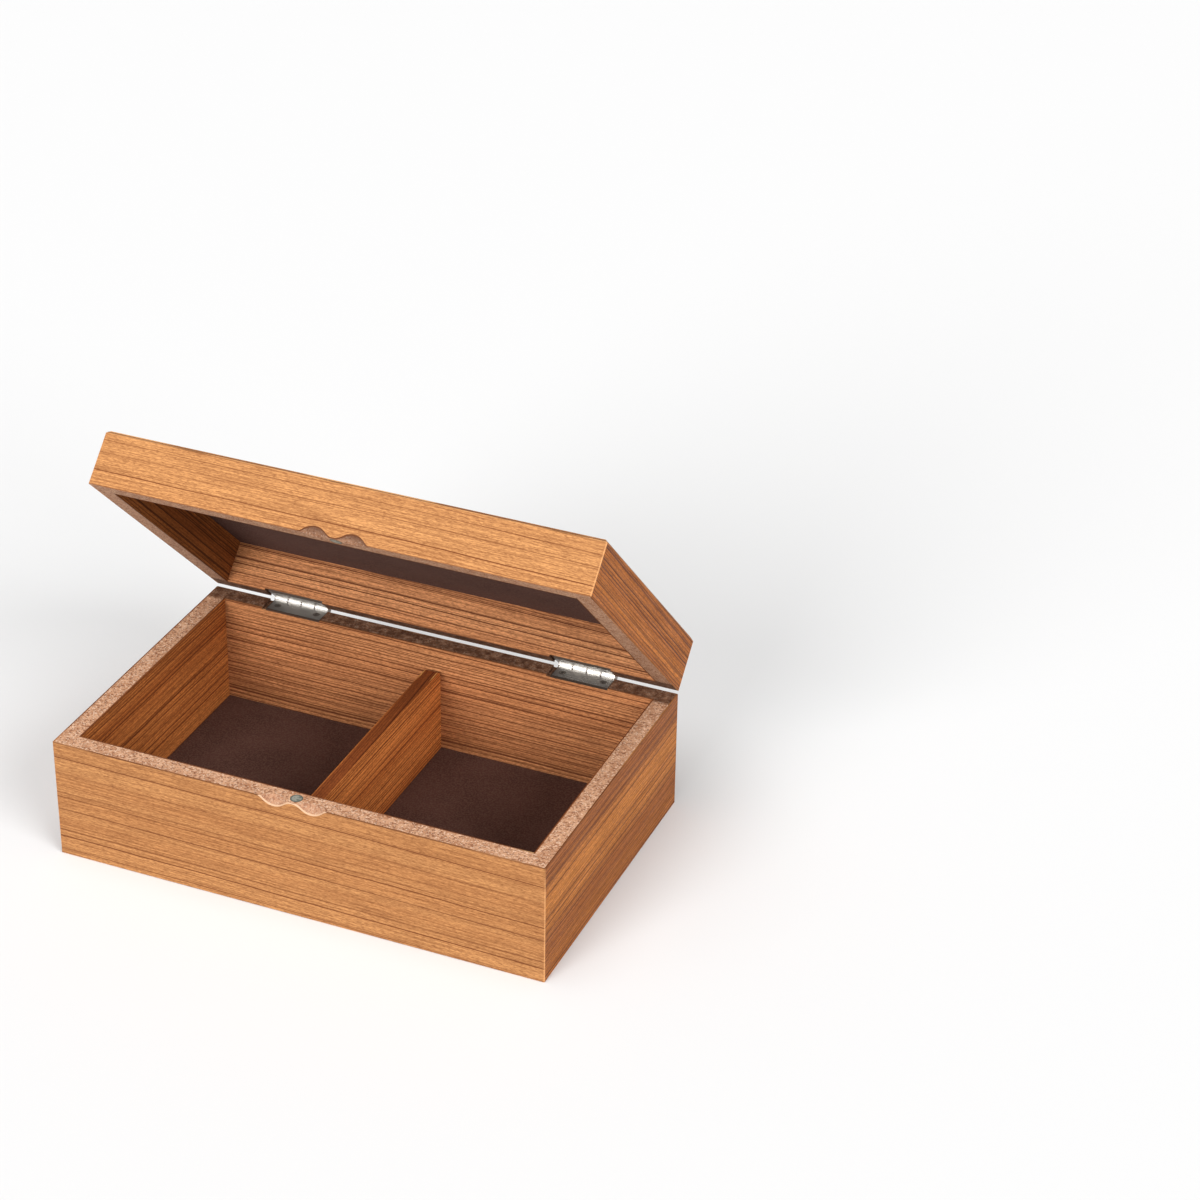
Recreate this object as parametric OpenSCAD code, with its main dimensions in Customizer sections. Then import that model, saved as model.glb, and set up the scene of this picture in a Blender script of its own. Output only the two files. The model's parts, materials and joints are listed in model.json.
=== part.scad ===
// A veneered wooden box with two lined compartments and a hinged lid.
// Every board is a fibreboard core with a thin veneer glued to each face. The rims are sawn through,
// so they show the bare core. Two butt hinges carry the lid, and a pair of disc magnets holds it shut.
// The origin is at the middle of the underside, +Z is up and the hinges are at +Y.
// Lid pieces are drawn closed, then turned about the hinge pins by lid_angle.

/* [Box] */
// Outside width, along X
width = 210; // [150:1:300]
// Outside depth, along Y, without the hinge barrels
depth = 133; // [100:1:200]
// Height of the lower part, from the underside to its rim
body_h = 52.4; // [40:0.1:90]
// Thickness of the fibreboard core of every wall
core_t = 7; // [6:0.5:10]
// Thickness of the fibreboard panels of the base and the lid's top
panel_t = 3.5; // [3:0.5:6]
// Thickness of every veneer
veneer_t = 0.5; // [0.4:0.1:1]
// Width of the easing along the upright corners and the bottom edges
edge_ease = 0.35; // [0.1:0.05:0.35]
// Thickness of the soft linings
lining_t = 0.8; // [0.5:0.1:2]

/* [Lid] */
// Height of the lid, from its rim to its top
lid_h = 22.4; // [18:0.1:40]
// How far the lid stands open
lid_angle = 45; // [0:5:180]
// Gap left between the two rims when the lid is shut
rim_gap = 0.2; // [0.2:0.05:0.5]
// Width of the bevel around the lid's top
top_bevel = 1.3; // [1:0.1:2.5]

/* [Divider] */
// Thickness of the divider's fibreboard core
divider_core_t = 5; // [3:0.5:8]
// How far the divider's top lies below the rim
divider_drop = 10; // [5:0.5:20]
// Radius of the divider's two upper corners
divider_corner_r = 3; // [2:0.5:6]

/* [Finger notch] */
// Depth of each lobe at the front face, in the lid and in the body alike
lobe_depth = 3.3; // [2:0.1:3.5]
// Distance between the middles of the two lobes
lobe_spacing = 16; // [14:0.5:24]
// Radius of the round part of a lobe
lobe_r = 9; // [6:0.5:10]
// Angle at which the notch runs up or down into the rim
notch_slope = 45; // [35:1:55]

/* [Hinges] */
// Distance of each hinge's middle from the box's middle
hinge_x = 65; // [45:1:70]
// Length of a hinge
hinge_len = 25; // [20:0.5:35]
// Thickness of a hinge leaf, and depth of the recess it lies in
leaf_t = 0.9; // [0.9:0.1:1.2]
// How far the pin's axis lies behind the box's rear face
pin_back = 1.4; // [1.4:0.1:3]
// Outer radius of the knuckles
knuckle_r = 1.7; // [1.4:0.1:1.7]
// Radius of the hinge pin
pin_r = 0.75; // [0.6:0.05:0.9]
// Extra length of each hinge recess, left open at its -X end
recess_extra = 2; // [0.5:0.5:4]

/* [Screws] */
// Distance between a leaf's two screws
screw_spacing = 18; // [14:0.5:19]
// Radius of a screw head
head_r = 1.5; // [1.2:0.1:1.8]
// Radius of a screw's shank
shank_r = 0.8; // [0.6:0.05:1]
// Length of a screw
screw_len = 8; // [6:0.5:10]

/* [Magnets] */
// Radius of the two disc magnets
magnet_r = 2.5; // [2:0.25:3]
// Thickness of the disc magnets
magnet_t = 3; // [2:0.5:4]

/* [Hidden] */

// Colours
face_veneer = "peru";
inner_veneer = "chocolate";
bare_core = "tan";
lining = "#4b332b";
nickel = "silver";
magnet_metal = "lightslategray";

// The inside starts behind core and both veneers
wall_t = core_t + 2 * veneer_t;
inner_w = width - 2 * wall_t;
inner_d = depth - 2 * wall_t;
floor_z = veneer_t + panel_t;
divider_t = divider_core_t + 2 * veneer_t;
divider_top_z = body_h - divider_drop;

// The lid, closed
lid_z = body_h + rim_gap;
top_z = lid_z + lid_h;
lid_panel_z = top_z - veneer_t - panel_t;

// The pins lie level with the middle of the rim gap
pin_y = depth / 2 + pin_back;
pin_z = body_h + rim_gap / 2;
knuckles = 4;
knuckle_gap = 0.25;
knuckle_len = (hinge_len - (knuckles - 1) * knuckle_gap) / knuckles;
pin_clearance = 0.03;

// A screw stands in the middle of the wall, its head flush in the leaf
screw_y = depth / 2 - wall_t / 2;
head_h = 0.8;
tip_h = 2;
pilot_clearance = 0.02;
countersink_clearance = 0.05;
slot_w = 0.45;
slot_depth = 0.5;

// The notch is cut along a slope, so its lobes are less deep square to the cut than at the face
notch_drop = lobe_depth * cos(notch_slope);
// Depth of the neck between the lobes, and height above the rim at which the notch's ends level off
notch_neck = 0.2;
notch_lip = 0.1;
arc_crossing = 0.1;

// Cuts reach this far past the faces they open
over = 1;
$fn = 64;

// ---- Placing ----

// Puts a wall's own frame (X along the wall, +Y into the box) on one side of the box
module on_side(side) {
    turn = side == "front" ? 0 : side == "right" ? 90 : side == "back" ? 180 : 270;
    rotate([0, 0, turn]) translate([0, -side_reach(side), 0]) children();
}

function is_long(side) = side == "front" || side == "back";
function side_reach(side) = is_long(side) ? depth / 2 : width / 2;
function half_length(side) = is_long(side) ? width / 2 : depth / 2;

// Opens the lid about the hinge pins
module on_lid() {
    translate([0, pin_y, pin_z]) rotate([-lid_angle, 0, 0]) translate([0, -pin_y, -pin_z]) children();
}

// Mirrors a body shape about the middle of the rim gap, to give the lid's matching shape
module across_gap() {
    translate([0, 0, pin_z]) mirror([0, 0, 1]) translate([0, 0, -pin_z]) children();
}

// ---- Cuts ----

// The hollow curve at one end of a lobe, seen along the cut with the lobe's lowest point at the
// origin. It ends level at x = lobe_spacing / 2, at the height rise
module lobe_end(rise) {
    reach = lobe_spacing / 2;
    // An arc that only touched the lobe's arc would leave slivers, so it is a little larger and crosses it
    touching_r = (reach * reach + rise * rise) / (2 * rise) - lobe_r;
    meet_x = reach * lobe_r / (lobe_r + touching_r);
    end_r = touching_r + arc_crossing;
    difference() {
        translate([meet_x, 0]) square([reach - meet_x, notch_drop + over]);
        translate([reach, rise - end_r]) circle(r = end_r);
    }
}

// The two lobes of the finger notch, with a shallow neck between them
module notch_outline() {
    for (side = [0, 1]) mirror([side, 0]) translate([lobe_spacing / 2, -notch_drop]) {
        translate([0, lobe_r]) circle(r = lobe_r);
        lobe_end(notch_drop + notch_lip);
        mirror([1, 0]) lobe_end(notch_drop - notch_neck);
    }
}

// The notch runs up from the front face into the rim
module notch_cut() {
    run_in = 3 * lobe_depth;
    translate([0, -depth / 2, body_h])
        rotate([90 + notch_slope, 0, 0])
        translate([0, 0, -run_in])
        linear_extrude(run_in + lobe_depth)
        notch_outline();
}

// A hole for a disc magnet, sunk in the middle of the front rim
module magnet_place() {
    translate([0, -depth / 2 + wall_t / 2, body_h - magnet_t]) children();
}

module magnet_disc(height) {
    magnet_place() cylinder(r = magnet_r, h = height);
}

// The two hinge recesses, across the whole rear rim
module hinge_recesses() {
    for (side = [-1, 1])
        translate([side * hinge_x - hinge_len / 2 - recess_extra, depth / 2 - wall_t - over, body_h - leaf_t])
        cube([hinge_len + recess_extra, wall_t + 2 * over, leaf_t + over]);
}

module screw_places(hinge_side) {
    for (end = [-1, 1])
        translate([hinge_side * hinge_x + end * screw_spacing / 2, screw_y, body_h]) children();
}

module pilot_holes() {
    for (side = [-1, 1]) screw_places(side)
        translate([0, 0, -screw_len]) cylinder(r = shank_r + pilot_clearance, h = screw_len);
}

// The 45 degree bevel along the four top edges of the lid
module top_bevel_cut() {
    for (side = ["front", "right", "back", "left"]) on_side(side)
        translate([-half_length(side) - over, 0, top_z])
        rotate([90, 0, 90])
        linear_extrude(2 * (half_length(side) + over))
        polygon([[-over, -top_bevel - over], [top_bevel + over, over], [-over, over]]);
}

// A bar that, centred on a square edge, eases the edge at 45 degrees
module easing_bar(length) {
    linear_extrude(length, center = true) circle(r = edge_ease, $fn = 4);
}

module upright_easing() {
    for (x = [-1, 1]) for (y = [-1, 1])
        translate([x * width / 2, y * depth / 2, 0]) easing_bar(2 * (top_z + over));
}

module bottom_easing() {
    for (side = ["front", "right", "back", "left"]) on_side(side)
        rotate([0, 90, 0]) easing_bar(2 * (half_length(side) + over));
}

// ---- Boards ----

// A wall's core, mitred at both ends
module wall_core(side, low_z, high_z) {
    half = half_length(side) - veneer_t;
    on_side(side)
        translate([0, veneer_t, low_z])
        linear_extrude(high_z - low_z)
        polygon([[-half, 0], [half, 0], [half - core_t, core_t], [-half + core_t, core_t]]);
}

// Outer veneer: the long sides run to the corners and the short sides fit between them
module wall_veneer(side, low_z, high_z) {
    half = is_long(side) ? width / 2 : depth / 2 - veneer_t;
    on_side(side) translate([-half, 0, low_z]) cube([2 * half, veneer_t, high_z - low_z]);
}

// Inner veneer: the short sides run to the corners and the long sides fit between them
module wall_inner_veneer(side, low_z, high_z) {
    half = is_long(side) ? inner_w / 2 : inner_d / 2 + veneer_t;
    on_side(side)
        translate([-half, wall_t - veneer_t, low_z])
        cube([2 * half, veneer_t, high_z - low_z]);
}

// A flat panel centred on the box
module panel(panel_w, panel_d, low_z, thickness) {
    translate([-panel_w / 2, -panel_d / 2, low_z]) cube([panel_w, panel_d, thickness]);
}

// ---- Body ----

module body_core(side) {
    color(bare_core) difference() {
        wall_core(side, veneer_t, body_h);
        if (side == "front") {
            notch_cut();
            magnet_disc(magnet_t + over);
        }
        if (side == "back") {
            hinge_recesses();
            pilot_holes();
        }
    }
}

module body_veneer(side) {
    color(face_veneer) difference() {
        wall_veneer(side, 0, body_h);
        upright_easing();
        bottom_easing();
        if (side == "front") notch_cut();
        if (side == "back") hinge_recesses();
    }
}

module body_inner_veneer(side) {
    color(inner_veneer) difference() {
        wall_inner_veneer(side, floor_z, body_h);
        if (side == "back") hinge_recesses();
    }
}

module base_core() {
    color(bare_core)
        panel(width - 2 * (veneer_t + core_t), depth - 2 * (veneer_t + core_t), veneer_t, panel_t);
}

module base_veneer() {
    color(face_veneer) panel(width - 2 * veneer_t, depth - 2 * veneer_t, 0, veneer_t);
}

// One lining in each compartment, up against the divider
module floor_lining(side) {
    lining_w = (inner_w - divider_t) / 2;
    color(lining)
        translate([side * (inner_w + divider_t) / 4, 0, 0])
        panel(lining_w, inner_d, floor_z, lining_t);
}

module body_magnet() {
    color(magnet_metal) magnet_disc(magnet_t);
}

// ---- Divider ----

// Side view of the divider, with round upper corners, cut back all round by inset at the top
module divider_profile(inset) {
    top = divider_top_z - inset;
    corner = divider_corner_r - inset;
    square_y = inner_d / 2 - divider_corner_r;
    translate([-square_y, floor_z]) square([2 * square_y, top - floor_z]);
    translate([-inner_d / 2 + inset, floor_z])
        square([inner_d - 2 * inset, divider_top_z - divider_corner_r - floor_z]);
    for (end = [-1, 1]) translate([end * square_y, divider_top_z - divider_corner_r]) circle(r = corner);
}

// Stands a side view up along Y, thickness centred on x
module upright(x, thickness) {
    translate([x - thickness / 2, 0, 0]) rotate([90, 0, 90]) linear_extrude(thickness) children();
}

module divider_core() {
    color(bare_core) upright(0, divider_core_t) divider_profile(veneer_t);
}

module divider_veneer(side) {
    color(inner_veneer)
        upright(side * (divider_t - veneer_t) / 2, veneer_t) divider_profile(0);
}

module divider_edge_veneer() {
    color(inner_veneer) upright(0, divider_core_t) difference() {
        divider_profile(0);
        divider_profile(veneer_t);
    }
}

// ---- Lid ----

module lid_core(side) {
    color(bare_core) on_lid() difference() {
        wall_core(side, lid_z, lid_panel_z);
        if (side == "front") across_gap() {
            notch_cut();
            magnet_disc(magnet_t + over);
        }
        if (side == "back") across_gap() {
            hinge_recesses();
            pilot_holes();
        }
    }
}

module lid_top_core() {
    color(bare_core) on_lid() difference() {
        panel(width - 2 * veneer_t, depth - 2 * veneer_t, lid_panel_z, panel_t);
        top_bevel_cut();
    }
}

module lid_veneer(side) {
    color(face_veneer) on_lid() difference() {
        wall_veneer(side, lid_z, top_z - veneer_t);
        upright_easing();
        top_bevel_cut();
        if (side == "front") across_gap() notch_cut();
        if (side == "back") across_gap() hinge_recesses();
    }
}

module lid_top_veneer() {
    color(face_veneer) on_lid() difference() {
        panel(width, depth, top_z - veneer_t, veneer_t);
        top_bevel_cut();
    }
}

module lid_inner_veneer(side) {
    color(inner_veneer) on_lid() difference() {
        wall_inner_veneer(side, lid_z, lid_panel_z);
        if (side == "back") across_gap() hinge_recesses();
    }
}

module lid_lining() {
    color(lining) on_lid() panel(inner_w, inner_d, lid_panel_z - lining_t, lining_t);
}

module lid_magnet() {
    color(magnet_metal) on_lid() across_gap() magnet_disc(magnet_t);
}

// ---- Hinges ----

// Every second knuckle, each with the neck that joins it to its leaf, in the pin's own frame
module knuckle_row(first) {
    for (k = [first : 2 : knuckles - 1])
        translate([-hinge_len / 2 + k * (knuckle_len + knuckle_gap), 0, 0]) {
            rotate([0, 90, 0]) cylinder(r = knuckle_r, h = knuckle_len);
            translate([0, -pin_back, -rim_gap / 2 - leaf_t]) cube([knuckle_len, pin_back, leaf_t]);
        }
}

// Room for the other leaf's knuckles, in the pin's own frame
module knuckle_room(first) {
    for (k = [first : 2 : knuckles - 1])
        translate([-hinge_len / 2 + k * (knuckle_len + knuckle_gap) - knuckle_gap / 2, 0, 0])
        rotate([0, 90, 0])
        cylinder(r = knuckle_r + knuckle_gap / 2, h = knuckle_len + knuckle_gap);
}

// A leaf let into the body's rim. The lid's leaf is its mirror image with the other knuckles
module leaf(hinge_side, first) {
    difference() {
        union() {
            translate([hinge_side * hinge_x, pin_y, pin_z]) knuckle_row(first);
            translate([hinge_side * hinge_x - hinge_len / 2, depth / 2 - wall_t, body_h - leaf_t])
                cube([hinge_len, wall_t, leaf_t]);
        }
        translate([hinge_side * hinge_x - hinge_len / 2 - over, pin_y, pin_z])
            rotate([0, 90, 0]) cylinder(r = pin_r + pin_clearance, h = hinge_len + 2 * over);
        translate([hinge_side * hinge_x, pin_y, pin_z]) knuckle_room(1 - first);
        screw_places(hinge_side) screw_shape(countersink_clearance);
    }
}

module body_leaf(hinge_side) {
    color(nickel) leaf(hinge_side, 0);
}

module lid_leaf(hinge_side) {
    color(nickel) on_lid() across_gap() leaf(hinge_side, 1);
}

module hinge_pin(hinge_side) {
    color(nickel)
        translate([hinge_side * hinge_x - hinge_len / 2, pin_y, pin_z])
        rotate([0, 90, 0]) cylinder(r = pin_r, h = hinge_len);
}

// Side of a countersunk screw, head up at z = 0, grown sideways by grow
module screw_shape(grow) {
    rotate_extrude() polygon([
        [0, 0],
        [head_r + grow, 0],
        [shank_r + grow, -head_h],
        [shank_r + grow, -screw_len + tip_h],
        [0, -screw_len]
    ]);
}

module screw() {
    difference() {
        screw_shape(0);
        for (turn = [0, 90]) rotate([0, 0, turn])
            translate([-head_r * 0.6, -slot_w / 2, -slot_depth])
            cube([head_r * 1.2, slot_w, slot_depth + over]);
    }
}

module body_screws(hinge_side) {
    color(nickel) screw_places(hinge_side) screw();
}

module lid_screws(hinge_side) {
    color(nickel) on_lid() across_gap() screw_places(hinge_side) screw();
}

// ---- Output ----

body_core("front");  // body_front_core
body_core("back");  // body_back_core
body_core("left");  // body_left_core
body_core("right");  // body_right_core
base_core();
body_veneer("front");  // body_front_veneer
body_veneer("back");  // body_back_veneer
body_veneer("left");  // body_left_veneer
body_veneer("right");  // body_right_veneer
base_veneer();
body_inner_veneer("front");  // body_front_inner_veneer
body_inner_veneer("back");  // body_back_inner_veneer
body_inner_veneer("left");  // body_left_inner_veneer
body_inner_veneer("right");  // body_right_inner_veneer
floor_lining(-1);  // left_floor_lining
floor_lining(1);  // right_floor_lining
divider_core();
divider_veneer(-1);  // divider_left_veneer
divider_veneer(1);  // divider_right_veneer
divider_edge_veneer();
body_magnet();
lid_core("front");  // lid_front_core
lid_core("back");  // lid_back_core
lid_core("left");  // lid_left_core
lid_core("right");  // lid_right_core
lid_top_core();
lid_veneer("front");  // lid_front_veneer
lid_veneer("back");  // lid_back_veneer
lid_veneer("left");  // lid_left_veneer
lid_veneer("right");  // lid_right_veneer
lid_top_veneer();
lid_inner_veneer("front");  // lid_front_inner_veneer
lid_inner_veneer("back");  // lid_back_inner_veneer
lid_inner_veneer("left");  // lid_left_inner_veneer
lid_inner_veneer("right");  // lid_right_inner_veneer
lid_lining();
lid_magnet();
body_leaf(-1);  // left_hinge_body_leaf
lid_leaf(-1);  // left_hinge_lid_leaf
hinge_pin(-1);  // left_hinge_pin
body_screws(-1);  // left_hinge_body_screws
lid_screws(-1);  // left_hinge_lid_screws
body_leaf(1);  // right_hinge_body_leaf
lid_leaf(1);  // right_hinge_lid_leaf
hinge_pin(1);  // right_hinge_pin
body_screws(1);  // right_hinge_body_screws
lid_screws(1);  // right_hinge_lid_screws
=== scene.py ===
"""The looks of the veneered wooden box: materials, felt linings, studio floor and lights, and the camera.

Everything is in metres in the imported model's own frame: the underside rests on z = 0, +Z is up, and the
hinges are at +Y. At rest the lid stands open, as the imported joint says. The lid's patterns are laid out
as on the closed box, so that the stripes run on from the body to the lid.
"""

import json
import math
import random
from collections import namedtuple

import bmesh
import bpy
from mathutils import Euler, Matrix, Vector


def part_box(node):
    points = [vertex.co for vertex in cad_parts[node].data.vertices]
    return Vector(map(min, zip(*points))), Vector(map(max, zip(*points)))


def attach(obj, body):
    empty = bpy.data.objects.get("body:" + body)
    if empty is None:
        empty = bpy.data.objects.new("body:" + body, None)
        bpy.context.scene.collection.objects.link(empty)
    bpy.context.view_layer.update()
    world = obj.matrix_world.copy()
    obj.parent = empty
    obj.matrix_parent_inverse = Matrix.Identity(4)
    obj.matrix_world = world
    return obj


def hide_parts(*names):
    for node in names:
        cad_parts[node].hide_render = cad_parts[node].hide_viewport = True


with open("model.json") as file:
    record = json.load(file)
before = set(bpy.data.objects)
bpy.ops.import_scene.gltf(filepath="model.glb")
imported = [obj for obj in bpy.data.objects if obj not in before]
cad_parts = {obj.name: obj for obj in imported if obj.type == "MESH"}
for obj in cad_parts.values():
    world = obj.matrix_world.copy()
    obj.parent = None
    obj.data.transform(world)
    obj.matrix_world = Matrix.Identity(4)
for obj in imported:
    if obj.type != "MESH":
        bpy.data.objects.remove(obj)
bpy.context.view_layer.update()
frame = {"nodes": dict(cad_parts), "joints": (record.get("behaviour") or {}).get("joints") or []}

MM = 0.001
X, Y, Z = 0, 1, 2
LID_HINGE = frame["joints"][0]
PIN = Vector(LID_HINGE["pos_m"])
# The hinge axis is -X, so closing the lid turns it the other way about +X
CLOSING_TURN = -math.radians(LID_HINGE["range_deg"][0])
CLOSED_FROM_REST = Matrix.Rotation(CLOSING_TURN, 3, "X")
REST_FROM_CLOSED = CLOSED_FROM_REST.inverted()
# Each hinge has two on either leaf
KNUCKLES = 4

# ---- Colours, as linear red, green and blue ----

# Light, middle and dark wood of each kind of veneer. OUTER is the front, back, top and underside,
# LONG_INNER the inside of the long boards, and END_INNER that of the short ones and the divider's faces
OUTER_TONE = ((0.58, 0.280, 0.103), (0.45, 0.185, 0.062), (0.12, 0.029, 0.007))
END_TONE = ((0.70, 0.250, 0.042), (0.37, 0.107, 0.017), (0.085, 0.019, 0.005))
LID_END_TONE = ((0.78, 0.262, 0.028), (0.41, 0.112, 0.012), (0.085, 0.019, 0.004))
LONG_INNER_TONE = ((0.93, 0.420, 0.175), (0.60, 0.232, 0.088), (0.10, 0.025, 0.009))
END_INNER_TONE = ((0.84, 0.300, 0.078), (0.56, 0.165, 0.039), (0.10, 0.022, 0.007))
# The divider's edge strip is darker wood, and darker still with painted shade, as it lies under the lid
DIVIDER_EDGE_TONE_AND_SHADE = ((0.34, 0.095, 0.025), (0.25, 0.060, 0.016), (0.07, 0.015, 0.006))

# The fine dark line along the parting height, and the veneer where the finger notch cuts it
PARTING_LINE = (0.14, 0.045, 0.018)
# Bare wood with a painted highlight on the body's side of the notch, painted shade on the lid's
BODY_NOTCH_BARE_AND_HIGHLIGHT = (0.60, 0.38, 0.24)
LID_NOTCH_PAINTED_SHADE = (0.13, 0.045, 0.018)

BOARD_DARK = (0.44, 0.205, 0.105)
BOARD_LIGHT = (0.66, 0.37, 0.22)
BOARD_FLECK = (0.20, 0.070, 0.030)
BOARD_FIBRE = (0.88, 0.62, 0.45)
BODY_BOARD_CARVED = (0.30, 0.15, 0.09)
# Painted shade for the lid's side of the notch
LID_CARVED_BOARD_SHADE = (0.13, 0.050, 0.026)
# Painted shade for all of the lid's board
LID_BOARD_PAINTED_SHADE = (0.10, 0.05, 0.03)
# Painted shade on the rims beside the hinges
RIM_PAINTED_SHADE = (0.075, 0.025, 0.010)

FELT_DARK = (0.074, 0.032, 0.023)
FELT_LIGHT = (0.096, 0.043, 0.032)
FELT_FIBRE = (0.150, 0.080, 0.060)
FELT_SHEEN = (0.55, 0.42, 0.36)
# Painted shade for the felt inside the lid
LID_FELT_PAINTED_SHADE = (0.040, 0.006, 0.005)

NICKEL = (0.60, 0.58, 0.55)
NICKEL_PAINTED_SHADE = (0.16, 0.125, 0.10)
MAGNET = (0.46, 0.46, 0.39)
MAGNET_SHADE_AND_REFLECTION = (0.07, 0.11, 0.095)
FLOOR_PAPER = (0.8, 0.8, 0.8)
SKY_WHITE = (1, 1, 1)

# ---- The veneer's patterns ----

# How many features a pattern has in a metre along the grain and across it, the step from the sheet's
# seed to its own, and how much finer detail it has
Pattern = namedtuple("Pattern", "along_per_m across_per_m seed_step detail roughness")
WANDER = Pattern(5.0, 9.0, 0.0, 1.0, 0.5)
RIPPLE = Pattern(45.0, 60.0, 2.0, 1.0, 0.5)
CROWDING = Pattern(0.8, 42.0, 4.0, 1.0, 0.5)
BANDS = Pattern(1.5, 90.0, 0.0, 2.0, 0.5)
STREAKS = Pattern(45.0, 1900.0, 9.0, 3.0, 0.6)
GRAIN = Pattern(600.0, 2600.0, 11.0, 2.0, 0.7)
PORES = Pattern(500.0, 2900.0, 13.0, 1.0, 0.5)
WEAR_AND_HIGHLIGHT = Pattern(25.0, 25.0, 7.0, 2.0, 0.5)
THIN_LINES_SEED_STEP = 0.41

# Each sheet's seed. The lid's boards share the body's seeds, so that the stripes run on
OUTER_SEED = 1.7
INNER_SEED = 6.3
TOP_SEED = 12.5
BASE_SEED = 14.1
DIVIDER_SEED = 17.2
DIVIDER_EDGE_SEED = 19.9


# ---- Shader building blocks ----

def principled(material):
    return material.node_tree.nodes["Principled BSDF"]


def new_material(name, roughness, metallic=0.0, specular=0.5):
    material = bpy.data.materials.new(name)
    material.use_nodes = True
    inputs = principled(material).inputs
    inputs["Roughness"].default_value = roughness
    inputs["Metallic"].default_value = metallic
    inputs["Specular IOR Level"].default_value = specular
    return material


def node(tree, kind, inputs=(), **settings):
    """A shader node. Each of inputs is (socket name or number, value or the socket to link from)."""
    made = tree.nodes.new("ShaderNode" + kind)
    for key, value in settings.items():
        setattr(made, key, value)
    for key, value in inputs:
        if isinstance(value, bpy.types.NodeSocket):
            tree.links.new(value, made.inputs[key])
        else:
            made.inputs[key].default_value = value
    return made


def math_node(tree, operation, a, b=0.0, c=0.0):
    return node(tree, "Math", [(0, a), (1, b), (2, c)], operation=operation).outputs[0]


def times(tree, a, b):
    return math_node(tree, "MULTIPLY", a, b)


def times_plus(tree, a, b, c):
    return math_node(tree, "MULTIPLY_ADD", a, b, c)


def plus(tree, a, b):
    return math_node(tree, "ADD", a, b)


def minus(tree, a, b):
    return math_node(tree, "SUBTRACT", a, b)


def larger(tree, a, b):
    return math_node(tree, "MAXIMUM", a, b)


def absolute(tree, a):
    return math_node(tree, "ABSOLUTE", a)


def vector_math(tree, operation, a, b=(0.0, 0.0, 0.0)):
    return node(tree, "VectorMath", [(0, a), (1, b)], operation=operation)


def parts(tree, vector):
    """A vector's three numbers, to be picked by X, Y or Z."""
    return node(tree, "SeparateXYZ", [(0, vector)]).outputs


def combine(tree, x, y, z):
    return node(tree, "CombineXYZ", [(0, x), (1, y), (2, z)]).outputs[0]


def remap(tree, value, low, high, to_low=0.0, to_high=1.0):
    """Value carried smoothly from low..high to to_low..to_high, and held at the ends."""
    inputs = [("Value", value), ("From Min", low), ("From Max", high)]
    inputs += [("To Min", to_low), ("To Max", to_high)]
    return node(tree, "MapRange", inputs, interpolation_type="SMOOTHSTEP").outputs["Result"]


def noise(tree, place, per_m=1.0, detail=2.0, roughness=0.5):
    """Noise from 0 to 1, with per_m features in a metre of place."""
    inputs = [("Vector", place), ("Scale", per_m), ("Detail", detail), ("Roughness", roughness)]
    return node(tree, "TexNoise", inputs).outputs["Fac"]


def opaque(colour):
    """A colour as a socket takes it. A socket that gives a colour is handed back as it is."""
    return colour if isinstance(colour, bpy.types.NodeSocket) else (*colour, 1.0)


def mix_colour(tree, share, a, b):
    """Colour a, carried towards b by share."""
    # The Mix node's inputs 6 and 7 and its output 2 are the ones for colours
    mixed = node(tree, "Mix", [(0, share), (6, opaque(a)), (7, opaque(b))], data_type="RGBA")
    return mixed.outputs[2]


def dress(material, colour, relief, depth, strength=1.0):
    """Gives a material its colour, and a relief that is depth metres deep."""
    tree = material.node_tree
    inputs = [("Height", relief), ("Distance", depth), ("Strength", strength)]
    bump = node(tree, "Bump", inputs)
    tree.links.new(colour, principled(material).inputs["Base Color"])
    tree.links.new(bump.outputs["Normal"], principled(material).inputs["Normal"])


def box_place(tree, on_lid):
    """The place on the surface, and its normal, in the closed box's frame wherever the lid stands."""
    here = node(tree, "TexCoord").outputs
    if not on_lid:
        return here["Object"], here["Normal"]
    turn = Euler((CLOSING_TURN, 0.0, 0.0))
    shift = PIN - CLOSED_FROM_REST @ PIN
    place_inputs = [("Vector", here["Object"]), ("Location", shift), ("Rotation", turn)]
    normal_inputs = [("Vector", here["Normal"]), ("Rotation", turn)]
    place = node(tree, "Mapping", place_inputs).outputs[0]
    normal = node(tree, "Mapping", normal_inputs, vector_type="NORMAL").outputs[0]
    return place, normal


def distance(tree, place, point, counted):
    """How far a place is from a point, over the axes that have a 1 in counted."""
    offset = vector_math(tree, "SUBTRACT", place, point).outputs[0]
    flat = vector_math(tree, "MULTIPLY", offset, counted).outputs[0]
    return vector_math(tree, "LENGTH", flat).outputs["Value"]


def from_pin(tree, place):
    """How far a place in the closed box is from the hinge axis."""
    return distance(tree, place, PIN, (0.0, 1.0, 1.0))


# ---- Veneer ----

def grain_noise(tree, length, width, pattern, seed):
    """Noise from 0 to 1 in one of the veneer's patterns, at places along the grain and across it."""
    x = times(tree, length, pattern.along_per_m)
    y = times(tree, width, pattern.across_per_m)
    place = combine(tree, x, y, seed + pattern.seed_step)
    return noise(tree, place, detail=pattern.detail, roughness=pattern.roughness)


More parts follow.
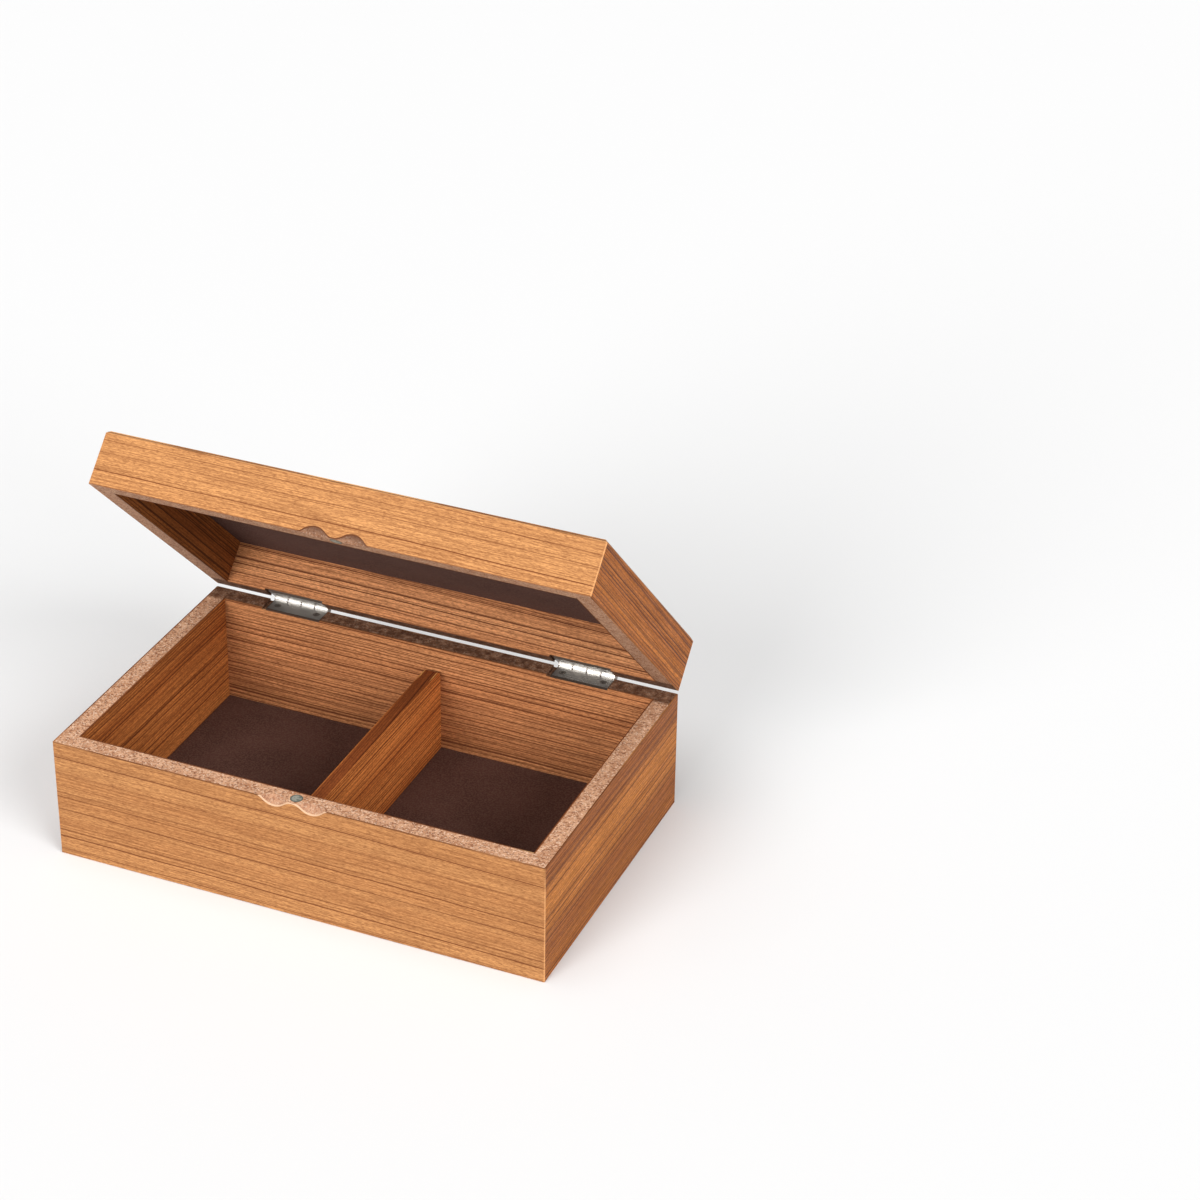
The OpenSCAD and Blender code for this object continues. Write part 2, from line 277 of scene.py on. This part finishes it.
def grain_lines(tree, length, width, per_m, thickness, seed):
    """Dark lines along the grain, at uneven distances with per_m of them in a metre. Each is sharp on
    one side, fades out on the other, and comes and goes along its length."""
    first = 31.0 * seed
    comings_per_m = 7.0
    row_spread = 90.0
    count = times_plus(tree, width, per_m, first)
    cells = node(tree, "TexVoronoi", [("W", count), ("Scale", 1.0)], voronoi_dimensions="1D")
    chance = node(tree, "SeparateColor", [(0, cells.outputs["Color"])]).outputs[0]
    beside = times(tree, minus(tree, count, cells.outputs["W"]), 1.0 / per_m)
    core = remap(tree, absolute(tree, beside), 0.3 * thickness, 0.55 * thickness, 1.0, 0.0)
    fade = remap(tree, beside, 0.0, 2.0 * thickness, 0.22, 0.0)
    one_sided = times(tree, fade, math_node(tree, "GREATER_THAN", beside, 0.0))
    line = larger(tree, core, one_sided)
    # Each line reads the noise in a row of its own
    row = times(tree, chance, row_spread)
    on_line = combine(tree, times(tree, length, comings_per_m), row, seed)
    presence = remap(tree, noise(tree, on_line), 0.3, 0.55, 0.65, 1.0)
    strength = times(tree, remap(tree, chance, 0.0, 0.7, 0.3, 1.0), presence)
    return times(tree, line, strength)


def wandering(tree, length, across, seed):
    """The place across the grain, for lines that lean a little and wander about a millimetre."""
    lean = 0.012
    wander = times(tree, grain_noise(tree, length, across, WANDER, seed), 3.0 * MM)
    ripple = times(tree, grain_noise(tree, length, across, RIPPLE, seed), 0.5 * MM)
    leaning = times_plus(tree, length, lean, across)
    return plus(tree, plus(tree, leaning, wander), ripple)


def figure(tree, length, across, seed, tone, lines):
    """The wood's figure: its colour, its streaks from 0 to 1, and its relief."""
    light, middle, dark = tone
    bold_per_m = 220.0 + 60.0 * lines
    bold_thickness = (0.48 + 0.1 * lines) * MM
    thin_per_m = 760.0
    thin_thickness = (0.30 + 0.07 * lines) * MM
    width = wandering(tree, length, across, seed)
    bold = grain_lines(tree, length, width, bold_per_m, bold_thickness, seed)
    thin_seed = seed + THIN_LINES_SEED_STEP
    thin = grain_lines(tree, length, width, thin_per_m, thin_thickness, thin_seed)
    crowding = grain_noise(tree, length, width, CROWDING, seed)
    crowd = remap(tree, crowding, 0.66 - 0.4 * lines, 0.76 - 0.3 * lines)
    # The thin lines are faint where the wood isn't crowded with them
    thin = times(tree, thin, times_plus(tree, crowd, 0.55, 0.45))
    bands = remap(tree, grain_noise(tree, length, width, BANDS, seed), 0.3, 0.7)
    streaks = grain_noise(tree, length, width, STREAKS, seed)
    grain = grain_noise(tree, length, width, GRAIN, seed)
    pores = remap(tree, grain_noise(tree, length, width, PORES, seed), 0.55, 0.65)

    shade = times_plus(tree, crowd, 0.35, times(tree, bands, 0.5))
    colour = mix_colour(tree, shade, light, middle)
    dark_shares = [
        remap(tree, streaks, 0.35, 0.7, 0.0, 0.45),
        remap(tree, grain, 0.35, 0.7, 0.0, 0.42),
        times(tree, thin, 0.8 + 0.2 * lines),
        times(tree, bold, 0.95),
        times(tree, pores, 0.38),
    ]
    for share in dark_shares:
        colour = mix_colour(tree, share, colour, dark)
    relief = minus(tree, times(tree, grain, 0.5), pores)
    relief = minus(tree, relief, times(tree, thin, 0.4))
    return colour, streaks, relief


def with_cut_edges(tree, colour, on_face, wear_and_highlight, tone, worn_and_highlit):
    """Cut edges show darker end fibres, and pale wood where rubbing has taken them down, which also
    serves as a painted highlight along the edges. on_face is how squarely the surface looks as the
    sheet's face does, and wear_and_highlight is the noise that spreads the pale wood."""
    light, middle, _ = tone
    # Painted highlight: the pale edge colour also stands in for light caught on the edges
    bare_and_highlight = tuple(min(1.0, 1.45 * part + 0.04) for part in light)
    end_fibres = tuple(0.4 * part for part in middle)
    rubbed_and_highlit = remap(tree, wear_and_highlight, 0.62 - 0.3 * worn_and_highlit, 0.72 - 0.3 * worn_and_highlit)
    edge = remap(tree, on_face, 0.9, 0.5)
    edge_colour = mix_colour(tree, rubbed_and_highlit, end_fibres, bare_and_highlight)
    return mix_colour(tree, times(tree, edge, 0.7), colour, edge_colour)


def with_parting_line(tree, colour, height):
    """A fine dark line on both lid and body, along the parting height."""
    off_parting = absolute(tree, minus(tree, height, PIN.z))
    line = remap(tree, off_parting, 0.25 * MM, 0.5 * MM, 0.6, 0.0)
    return mix_colour(tree, line, colour, PARTING_LINE)


def with_notch(tree, colour, on_face, upward, on_lid):
    """The finger notch cuts the sheet on a slope: bare wood with a painted highlight where it looks up,
    painted shade where it looks down.
    """
    slope = times(tree, upward, -1.0 if on_lid else 1.0)
    cut = times(tree, remap(tree, slope, 0.25, 0.45), remap(tree, on_face, 0.25, 0.45))
    return mix_colour(tree, cut, colour, LID_NOTCH_PAINTED_SHADE if on_lid else BODY_NOTCH_BARE_AND_HIGHLIGHT)


def veneer(name, axes, seed, tone, lines=0.4, worn_and_highlit=0.0, on_lid=False):
    """Straight-grained veneer. axes are those of the grain, of the stripes' order and of the sheet's
    face. tone is its (light, middle, dark) wood, lines is how crowded the dark lines are from 0 to 1,
    and worn_and_highlit is how far the sheet's cut edges go pale from rubbing, with a painted highlight."""
    along, across, facing = axes
    material = new_material(name, 0.5, specular=0.12)
    tree = material.node_tree
    place, normal = box_place(tree, on_lid)
    at = parts(tree, place)
    normal_parts = parts(tree, normal)
    on_face = absolute(tree, normal_parts[facing])
    wear_and_highlight = grain_noise(tree, at[along], at[across], WEAR_AND_HIGHLIGHT, seed)

    colour, streaks, relief = figure(tree, at[along], at[across], seed, tone, lines)
    colour = with_cut_edges(tree, colour, on_face, wear_and_highlight, tone, worn_and_highlit)
    colour = with_parting_line(tree, colour, at[Z])
    if facing == Y:
        colour = with_notch(tree, colour, on_face, normal_parts[Z], on_lid)
    dress(material, colour, relief, depth=0.03 * MM, strength=0.6)
    roughness = remap(tree, streaks, 0.3, 0.7, 0.46, 0.60)
    tree.links.new(roughness, principled(material).inputs["Roughness"])
    return material


# ---- Fibreboard and felt ----

def fibreboard(name, on_lid=False):
    """Sawn fibreboard: pinkish tan, with darker flecks and short pale fibres, and darker where the
    finger notch is carved through it. Painted shade darkens the lid's side of the notch, the rims
    beside the hinges and all of the lid's board."""
    material = new_material(name, 0.85, specular=0.2)
    tree = material.node_tree
    place, normal = box_place(tree, on_lid)
    cloud = noise(tree, place, per_m=330.0, detail=3.0, roughness=0.6)
    flecks = remap(tree, noise(tree, place, per_m=950.0, roughness=0.6), 0.52, 0.62)
    fibres = remap(tree, noise(tree, place, per_m=1500.0, detail=1.0), 0.54, 0.66)
    colour = mix_colour(tree, remap(tree, cloud, 0.3, 0.7), BOARD_DARK, BOARD_LIGHT)
    colour = mix_colour(tree, times(tree, flecks, 0.70), colour, BOARD_FLECK)
    colour = mix_colour(tree, times(tree, fibres, 0.65), colour, BOARD_FIBRE)

    # Of the faces in sight, only the notch's look along none of the three axes
    facing = parts(tree, vector_math(tree, "ABSOLUTE", normal).outputs[0])
    squareness = larger(tree, facing[X], larger(tree, facing[Y], facing[Z]))
    carved = remap(tree, squareness, 0.99, 0.9)
    if on_lid:
        # Painted shade on the lid's side of the notch, deeper towards the lid's top
        height = minus(tree, parts(tree, place)[Z], PIN.z)
        shaded = times(tree, carved, remap(tree, height, 0.0, 3.0 * MM, 0.35, 0.9))
        colour = mix_colour(tree, shaded, colour, LID_CARVED_BOARD_SHADE)
    else:
        colour = mix_colour(tree, times(tree, carved, 0.5), colour, BODY_BOARD_CARVED)

    # Painted shade: the rims beside the hinges are darkened, in the wedge between lid and body
    painted_rim_shade = remap(tree, from_pin(tree, place), 9.0 * MM, 12.0 * MM, 0.9, 0.0)
    painted_rim_shade = times(tree, painted_rim_shade, remap(tree, cloud, 0.3, 0.7, 1.0, 0.65))
    colour = mix_colour(tree, painted_rim_shade, colour, RIM_PAINTED_SHADE)
    # Painted shade darkens all of the lid's board
    if on_lid:
        colour = mix_colour(tree, 0.37, colour, LID_BOARD_PAINTED_SHADE)
    dress(material, colour, minus(tree, fibres, flecks), depth=0.10 * MM)
    return material


def felt(name, on_lid=False):
    """Short, dark brown felt: a soft sheen over a cloudy, fine-fibred pile."""
    material = new_material(name, 0.95, specular=0.15)
    tree = material.node_tree
    inputs = principled(material).inputs
    inputs["Sheen Weight"].default_value = 0.08
    inputs["Sheen Roughness"].default_value = 0.5
    inputs["Sheen Tint"].default_value = opaque(FELT_SHEEN)
    place, _ = box_place(tree, on_lid)
    cloud = remap(tree, noise(tree, place, per_m=45.0), 0.35, 0.65)
    pile = noise(tree, place, per_m=1300.0, detail=3.0, roughness=0.7)
    colour = mix_colour(tree, cloud, FELT_DARK, FELT_LIGHT)
    colour = mix_colour(tree, remap(tree, pile, 0.42, 0.62, 0.0, 0.7), colour, FELT_FIBRE)
    # Painted shade darkens the felt inside the lid
    if on_lid:
        colour = mix_colour(tree, 0.3, colour, LID_FELT_PAINTED_SHADE)
    dress(material, colour, pile, depth=0.25 * MM)
    return material


# ---- Metal ----

def plate(material, place, roughness, colour, dark_share, dark_colour):
    """Gives a metal fine drawn scratches along the box's width and a faint tarnish. dark_share is the
    socket that says where the plate is dark_colour."""
    tree = material.node_tree
    inputs = principled(material).inputs
    scratches_per_m = (120.0, 1500.0, 1500.0)
    tarnish = remap(tree, noise(tree, place, per_m=160.0, detail=1.0), 0.4, 0.75)
    dull = tuple(0.85 * part for part in colour)
    shade = mix_colour(tree, dark_share, mix_colour(tree, tarnish, colour, dull), dark_colour)
    tree.links.new(shade, inputs["Base Color"])
    drawn = node(tree, "Mapping", [("Vector", place), ("Scale", scratches_per_m)]).outputs[0]
    scratches = remap(tree, noise(tree, drawn), 0.35, 0.65, 0.0, 0.03)
    dulled = remap(tree, tarnish, 0.0, 1.0, roughness, roughness + 0.05)
    tree.links.new(plus(tree, scratches, dulled), inputs["Roughness"])


def knuckle_gap_shade(tree, along, side):
    """Painted shade in the joints between a hinge's knuckles, which share the pin's length evenly."""
    start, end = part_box(f"{side}_hinge_pin")
    pitch = (end.x - start.x) / KNUCKLES
    knuckle = times_plus(tree, along, 1 / pitch, 0.5 - start.x / pitch)
    off_joint = absolute(tree, minus(tree, math_node(tree, "FRACT", knuckle), 0.5))
    return remap(tree, off_joint, 0.2 * MM / pitch, 0.35 * MM / pitch, 0.9, 0.0)


def leaf_outline(tree, along, off_pin, side):
    """Painted shade: a dark line inside a leaf's two ends and its far edge."""
    start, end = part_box(f"{side}_hinge_body_leaf")
    half_length = (end.x - start.x) / 2
    off_middle = absolute(tree, minus(tree, along, (start.x + end.x) / 2))
    at_end = remap(tree, off_middle, half_length - 0.5 * MM, half_length - 0.2 * MM)
    reach = PIN.y - start.y
    at_reach = remap(tree, off_pin, reach - 0.6 * MM, reach - 0.3 * MM)
    return larger(tree, at_end, at_reach)


def nickel(name, side, on_lid, painted_recess_shade):
    """A hinge's bright nickel, with painted shade in the joints between knuckles, round the leaf's
    outline and on the metal down in the recess. painted_recess_shade is how far that metal goes from
    the barrel's colour to NICKEL_PAINTED_SHADE."""
    roughness = 0.27
    material = new_material(name, roughness, metallic=0.75)
    tree = material.node_tree
    place, _ = box_place(tree, on_lid)
    along = parts(tree, place)[X]
    off_pin = from_pin(tree, place)
    # Painted shade on the metal down in the recess
    recess = remap(tree, off_pin, 1.8 * MM, 2.6 * MM)
    outline = times(tree, recess, leaf_outline(tree, along, off_pin, side))
    shaded = larger(tree, times(tree, recess, painted_recess_shade), outline)
    on_barrel = minus(tree, 1.0, recess)
    dark = times_plus(tree, knuckle_gap_shade(tree, along, side), on_barrel, shaded)
    plate(material, place, roughness, NICKEL, dark, NICKEL_PAINTED_SHADE)
    return material


def magnet_plate(name, on_lid):
    """A dull silvery disc with painted reflection in dark patches and painted shade round its edge."""
    roughness = 0.4
    material = new_material(name, roughness, metallic=0.4)
    tree = material.node_tree
    place, _ = box_place(tree, on_lid)
    low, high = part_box("body_magnet")
    radius = (high.x - low.x) / 2
    off_centre = distance(tree, place, (low + high) / 2, (1.0, 1.0, 0.0))
    # Painted shade round the disc's edge, and painted reflection in dark patches
    rim = remap(tree, off_centre, 0.7 * radius, 0.9 * radius, 0.0, 0.9)
    painted_reflection_patches = remap(tree, noise(tree, place, per_m=700.0, detail=1.0), 0.45, 0.6, 0.0, 0.6)
    plate(material, place, roughness, MAGNET, larger(tree, rim, painted_reflection_patches), MAGNET_SHADE_AND_REFLECTION)
    return material


# ---- Which node has which material ----

def toned(tone, share):
    """The same wood with all its colours made that many times as bright."""
    return tuple(tuple(share * part for part in colour) for colour in tone)


def paint(node_name, material):
    """Gives a CAD node one material in place of its packed one."""
    mesh = frame["nodes"][node_name].data
    mesh.materials.clear()
    mesh.materials.append(material)


def paint_boards():
    body_board = fibreboard("body_fibreboard")
    lid_board = fibreboard("lid_fibreboard", on_lid=True)
    for name in frame["nodes"]:
        if name.endswith("_core"):
            paint(name, lid_board if name.startswith("lid") else body_board)


def paint_side_veneers(body, on_lid):
    """Grain runs along X on the long boards and along Y on the short ones."""
    worn_and_highlit = 0.8 if on_lid else 0.3
    face_tone = toned(OUTER_TONE, 1.13 if on_lid else 1.0)
    end_tone = LID_END_TONE if on_lid else END_TONE
    # Painted shade: the lid's inner end veneers are darkened
    end_inner_tone = toned(END_INNER_TONE, 0.55 if on_lid else 1.0)
    for number, side in enumerate(("front", "back", "left", "right")):
        if side in ("front", "back"):
            axes = (X, Z, Y)
            lines = 0.0
            outer_tone, inner_tone = face_tone, LONG_INNER_TONE
        else:
            axes = (Y, Z, X)
            lines = 0.9
            outer_tone, inner_tone = end_tone, end_inner_tone
        outer = f"{body}_{side}_veneer"
        paint(outer, veneer(outer, axes, OUTER_SEED + number, outer_tone, lines, worn_and_highlit, on_lid))
        inner = f"{body}_{side}_inner_veneer"
        paint(inner, veneer(inner, axes, INNER_SEED + number, inner_tone, lines=0.8, on_lid=on_lid))


def paint_flat_veneers():
    """The underside's and the top's veneer, with the grain along X. The top is the brighter one."""
    axes = (X, Y, Z)
    base = veneer("base_veneer", axes, BASE_SEED, OUTER_TONE, lines=0.6, worn_and_highlit=0.5)
    top_tone = toned(OUTER_TONE, 1.3)
    top = veneer("lid_top_veneer", axes, TOP_SEED, top_tone, lines=0.6, worn_and_highlit=0.5, on_lid=True)
    paint("base_veneer", base)
    paint("lid_top_veneer", top)


def paint_divider():
    face_tone = toned(END_INNER_TONE, 1.3)
    face = veneer("divider_face", (Y, Z, X), DIVIDER_SEED, face_tone, lines=0.8)
    edge = veneer("divider_edge", (Y, X, Z), DIVIDER_EDGE_SEED, DIVIDER_EDGE_TONE_AND_SHADE)
    paint("divider_left_veneer", face)
    paint("divider_right_veneer", face)
    paint("divider_edge_veneer", edge)


def paint_metal():
    for body, on_lid in (("body", False), ("lid", True)):
        for side in ("left", "right"):
            leaf = nickel(f"{side}_{body}_nickel", side, on_lid, painted_recess_shade=0.3)
            screws = nickel(f"{side}_{body}_screws", side, on_lid, painted_recess_shade=0.8)
            paint(f"{side}_hinge_{body}_leaf", leaf)
            paint(f"{side}_hinge_{body}_screws", screws)
            if not on_lid:
                paint(f"{side}_hinge_pin", leaf)
        paint(f"{body}_magnet", magnet_plate(f"{body}_magnet_plate", on_lid))


# ---- Felt linings ----

def felt_mesh(name, low, high, seed):
    """A flat-bottomed slab between low and high, with soft upper edges and a faintly uneven face."""
    step = 1.5 * MM
    edge = 0.5 * MM
    unevenness = 0.04 * MM
    wave_count = 5
    sunk_rim = 0.25 * (high.z - low.z)
    rng = random.Random(seed)
    # Each wave is its radians in a metre, its direction and its phase
    waves = [
        (rng.uniform(40, 120), rng.uniform(0, math.tau), rng.uniform(0, math.tau))
        for _ in range(wave_count)
    ]

    def sunk(x, y):
        """How far the face sinks below its highest level."""
        inset = min(x - low.x, high.x - x, y - low.y, high.y - y)
        rolled = max(0.0, 1 - inset / edge)
        heights = [
            math.sin(pace * (x * math.cos(turn) + y * math.sin(turn)) + phase)
            for pace, turn, phase in waves
        ]
        return sunk_rim * rolled ** 2 + unevenness * (1 + sum(heights) / wave_count)

    def stations(start, end):
        """Places for the mesh's rows from start to end, closer together at the rolled edges."""
        flat = end - start - 2 * edge
        count = max(2, round(flat / step))
        inner = [start + edge + flat * i / count for i in range(count + 1)]
        return [start, start + 0.4 * edge, *inner, end - 0.4 * edge, end]

    xs = stations(low.x, high.x)
    ys = stations(low.y, high.y)
    last_x = len(xs) - 1
    last_y = len(ys) - 1
    mesh = bmesh.new()
    top = [[mesh.verts.new((x, y, high.z - sunk(x, y))) for y in ys] for x in xs]
    under = [[mesh.verts.new((x, y, low.z)) for y in ys] for x in xs]
    for i in range(last_x):
        for j in range(last_y):
            mesh.faces.new((top[i][j], top[i + 1][j], top[i + 1][j + 1], top[i][j + 1]))
            mesh.faces.new((under[i][j], under[i][j + 1], under[i + 1][j + 1], under[i + 1][j]))
    rim = [(i, 0) for i in range(last_x)]
    rim += [(last_x, j) for j in range(last_y)]
    rim += [(i, last_y) for i in range(last_x, 0, -1)]
    rim += [(0, j) for j in range(last_y, 0, -1)]
    for (i, j), (k, m) in zip(rim, rim[1:] + rim[:1]):
        mesh.faces.new((under[i][j], under[k][m], top[k][m], top[i][j]))
    data = bpy.data.meshes.new(name)
    mesh.to_mesh(data)
    mesh.free()
    for polygon in data.polygons:
        polygon.use_smooth = True
    return data


def felt_sheet(name, cad_node, body, low, high, seed):
    """A felt sheet glued flat, filling the CAD lining's place. low and high are its corners in the
    closed box, and the face looks to high's side in Z."""
    sheet = bpy.data.objects.new(name, felt_mesh(name, low, high, seed))
    bpy.context.scene.collection.objects.link(sheet)
    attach(sheet, body)
    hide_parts(cad_node)
    return sheet


def add_floor_linings():
    material = felt("floor_felt")
    for seed, side in enumerate(("left", "right")):
        name = f"{side}_floor_felt"
        cad_node = f"{side}_floor_lining"
        low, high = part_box(cad_node)
        sheet = felt_sheet(
            name, cad_node, "box", low, high,
            seed=seed,
        )
        sheet.data.materials.append(material)


def add_lid_lining():
    """Built as in the closed box, then opened with the lid."""
    corners = [vertex.co for vertex in frame["nodes"]["lid_lining"].data.vertices]
    shut = [CLOSED_FROM_REST @ (corner - PIN) + PIN for corner in corners]
    low = Vector(min(corner[axis] for corner in shut) for axis in (X, Y, Z))
    high = Vector(max(corner[axis] for corner in shut) for axis in (X, Y, Z))
    sheet = felt_sheet(
        "lid_felt", "lid_lining", "lid", low, high,
        seed=5,
    )
    # The face looks down in the closed box, so the sheet is mirrored about its own middle
    middle = (low.z + high.z) / 2
    for vertex in sheet.data.vertices:
        flipped = Vector((vertex.co.x, vertex.co.y, 2 * middle - vertex.co.z))
        vertex.co = REST_FROM_CLOSED @ (flipped - PIN) + PIN
    sheet.data.flip_normals()
    sheet.data.materials.append(felt("lid_felt", on_lid=True))


# ---- Studio ----

def add_floor():
    """Pale paper, far wider than the view."""
    reach = 40.0
    corners = [(-reach, -reach, 0), (reach, -reach, 0), (reach, reach, 0), (-reach, reach, 0)]
    data = bpy.data.meshes.new("floor")
    data.from_pydata(corners, [], [(0, 1, 2, 3)])
    floor = bpy.data.objects.new("floor", data)
    bpy.context.scene.collection.objects.link(floor)
    paper = new_material("floor_paper", 0.9)
    principled(paper).inputs["Base Color"].default_value = opaque(FLOOR_PAPER)
    data.materials.append(paper)


def towards(azimuth, elevation):
    """The direction of a place that many degrees round to the right of the box's front, and up."""
    turn = math.radians(azimuth)
    rise = math.radians(elevation)
    return Vector((math.sin(turn) * math.cos(rise), -math.cos(turn) * math.cos(rise), math.sin(rise)))


def add_light(name, azimuth, elevation, spread, brightness):
    """A far, soft light that fills spread degrees of the sky. brightness is how bright it makes a
    white surface that faces it."""
    lamp = bpy.data.lights.new(name, "SUN")
    lamp.angle = math.radians(spread)
    lamp.energy = math.pi * brightness
    light = bpy.data.objects.new(name, lamp)
    bpy.context.scene.collection.objects.link(light)
    light.rotation_mode = "QUATERNION"
    light.rotation_quaternion = towards(azimuth, elevation).to_track_quat("Z", "Y")


def add_studio():
    add_floor()
    add_light("key", azimuth=-12, elevation=24, spread=30, brightness=0.72)
    add_light("fill", azimuth=62, elevation=28, spread=35, brightness=0.65)
    add_light("top", azimuth=-20, elevation=78, spread=50, brightness=0.40)
    world = bpy.data.worlds.new("studio")
    world.use_nodes = True
    sky = world.node_tree.nodes["Background"]
    sky.inputs["Color"].default_value = opaque(SKY_WHITE)
    sky.inputs["Strength"].default_value = 0.25
    bpy.context.scene.world = world
    bpy.context.scene.view_settings.view_transform = "Standard"


def add_camera():
    """Looks down from the front right, a little tilted, as the photo was taken."""
    azimuth = 22.311
    elevation = 30.395
    roll = 1.013
    lens = bpy.data.cameras.new("camera")
    lens.sensor_width = 36
    lens.lens = 95.07
    camera = bpy.data.objects.new("camera", lens)
    bpy.context.scene.collection.objects.link(camera)
    camera.location = (0.48511, -0.94440, 0.72878)
    level = towards(azimuth, elevation).to_track_quat("Z", "Y").to_matrix()
    turn = level @ Matrix.Rotation(math.radians(roll), 3, "Z")
    camera.rotation_mode = "QUATERNION"
    camera.rotation_quaternion = turn.to_quaternion()
    bpy.context.scene.camera = camera


paint_boards()
paint_side_veneers("body", on_lid=False)
paint_side_veneers("lid", on_lid=True)
paint_flat_veneers()
paint_divider()
paint_metal()
add_floor_linings()
add_lid_lining()
add_studio()
add_camera()
